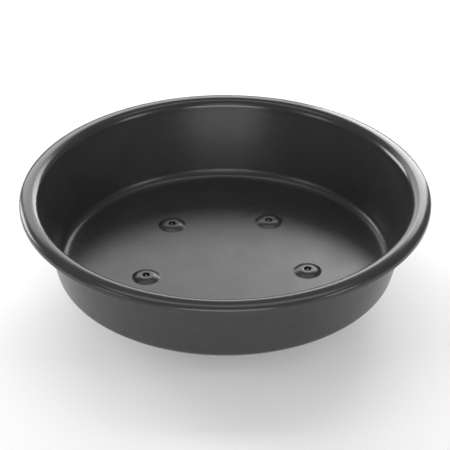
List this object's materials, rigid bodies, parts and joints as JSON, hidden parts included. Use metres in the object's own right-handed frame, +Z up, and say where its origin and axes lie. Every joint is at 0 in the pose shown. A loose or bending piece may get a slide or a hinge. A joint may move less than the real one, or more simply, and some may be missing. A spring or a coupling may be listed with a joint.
{
  "type": "plant pot caddy",
  "caption": "Round plastic plant pot caddy: a deep flared saucer with a rolled rim, on hidden twin-wheel swivel casters.",
  "frame": {"origin": "on the ground, under the saucer's axis, at the centre of the rim seen from above", "axes": "+Z up; -Y to the front, where the single front caster stands; +X to the right seen from the front"},
  "size_m": [0.406, 0.406, 0.129],
  "materials": {
    "pan_plastic": "satin moulded polypropylene, charcoal black",
    "hood_nylon": "fine-textured black nylon",
    "wheel_nylon": "black nylon, tread lightly scuffed",
    "zinc_steel": "zinc plated steel",
    "spring_steel": "dark oiled spring steel"
  },
  "bodies": {
    "pan_body": {"pan": "pan_plastic", "stem_1": "zinc_steel", "grip_ring_1": "spring_steel", "stem_clip_1": "spring_steel", "stem_2": "zinc_steel", "grip_ring_2": "spring_steel", "stem_clip_2": "spring_steel", "stem_3": "zinc_steel", "grip_ring_3": "spring_steel", "stem_clip_3": "spring_steel", "stem_4": "zinc_steel", "grip_ring_4": "spring_steel", "stem_clip_4": "spring_steel", "stem_5": "zinc_steel", "grip_ring_5": "spring_steel", "stem_clip_5": "spring_steel"},
    "caster_1": {"hood_1": "hood_nylon", "axle_1": "zinc_steel"},
    "caster_wheel_left_1": {"wheel_left_1": "wheel_nylon"},
    "caster_wheel_right_1": {"wheel_right_1": "wheel_nylon"},
    "caster_2": {"hood_2": "hood_nylon", "axle_2": "zinc_steel"},
    "caster_wheel_left_2": {"wheel_left_2": "wheel_nylon"},
    "caster_wheel_right_2": {"wheel_right_2": "wheel_nylon"},
    "caster_3": {"hood_3": "hood_nylon", "axle_3": "zinc_steel"},
    "caster_wheel_left_3": {"wheel_left_3": "wheel_nylon"},
    "caster_wheel_right_3": {"wheel_right_3": "wheel_nylon"},
    "caster_4": {"hood_4": "hood_nylon", "axle_4": "zinc_steel"},
    "caster_wheel_left_4": {"wheel_left_4": "wheel_nylon"},
    "caster_wheel_right_4": {"wheel_right_4": "wheel_nylon"},
    "caster_5": {"hood_5": "hood_nylon", "axle_5": "zinc_steel"},
    "caster_wheel_left_5": {"wheel_left_5": "wheel_nylon"},
    "caster_wheel_right_5": {"wheel_right_5": "wheel_nylon"}
  },
  "joints": [
    {"name": "caster_swivel_1", "type": "hinge", "parent": "pan_body", "child": "caster_1", "pos_m": [0.0059, -0.08439, 0.0404], "axis": [0, 0, 1], "continuous": true},
    {"name": "wheel_left_roll_1", "type": "hinge", "parent": "caster_1", "child": "caster_wheel_left_1", "pos_m": [0.0059, -0.06989, 0.019], "axis": [1, 0, 0], "continuous": true},
    {"name": "wheel_right_roll_1", "type": "hinge", "parent": "caster_1", "child": "caster_wheel_right_1", "pos_m": [0.0059, -0.06989, 0.019], "axis": [1, 0, 0], "continuous": true},
    {"name": "caster_swivel_2", "type": "hinge", "parent": "pan_body", "child": "caster_2", "pos_m": [0.08209, -0.02047, 0.0404], "axis": [0, 0, 1], "continuous": true},
    {"name": "wheel_left_roll_2", "type": "hinge", "parent": "caster_2", "child": "caster_wheel_left_2", "pos_m": [0.08209, -0.00597, 0.019], "axis": [1, 0, 0], "continuous": true},
    {"name": "wheel_right_roll_2", "type": "hinge", "parent": "caster_2", "child": "caster_wheel_right_2", "pos_m": [0.08209, -0.00597, 0.019], "axis": [1, 0, 0], "continuous": true},
    {"name": "caster_swivel_3", "type": "hinge", "parent": "pan_body", "child": "caster_3", "pos_m": [0.04483, 0.07175, 0.0404], "axis": [0, 0, 1], "continuous": true},
    {"name": "wheel_left_roll_3", "type": "hinge", "parent": "caster_3", "child": "caster_wheel_left_3", "pos_m": [0.04483, 0.08625, 0.019], "axis": [1, 0, 0], "continuous": true},
    {"name": "wheel_right_roll_3", "type": "hinge", "parent": "caster_3", "child": "caster_wheel_right_3", "pos_m": [0.04483, 0.08625, 0.019], "axis": [1, 0, 0], "continuous": true},
    {"name": "caster_swivel_4", "type": "hinge", "parent": "pan_body", "child": "caster_4", "pos_m": [-0.05438, 0.06481, 0.0404], "axis": [0, 0, 1], "continuous": true},
    {"name": "wheel_left_roll_4", "type": "hinge", "parent": "caster_4", "child": "caster_wheel_left_4", "pos_m": [-0.05438, 0.07931, 0.019], "axis": [1, 0, 0], "continuous": true},
    {"name": "wheel_right_roll_4", "type": "hinge", "parent": "caster_4", "child": "caster_wheel_right_4", "pos_m": [-0.05438, 0.07931, 0.019], "axis": [1, 0, 0], "continuous": true},
    {"name": "caster_swivel_5", "type": "hinge", "parent": "pan_body", "child": "caster_5", "pos_m": [-0.07844, -0.03169, 0.0404], "axis": [0, 0, 1], "continuous": true},
    {"name": "wheel_left_roll_5", "type": "hinge", "parent": "caster_5", "child": "caster_wheel_left_5", "pos_m": [-0.07844, -0.01719, 0.019], "axis": [1, 0, 0], "continuous": true},
    {"name": "wheel_right_roll_5", "type": "hinge", "parent": "caster_5", "child": "caster_wheel_right_5", "pos_m": [-0.07844, -0.01719, 0.019], "axis": [1, 0, 0], "continuous": true}
  ]
}
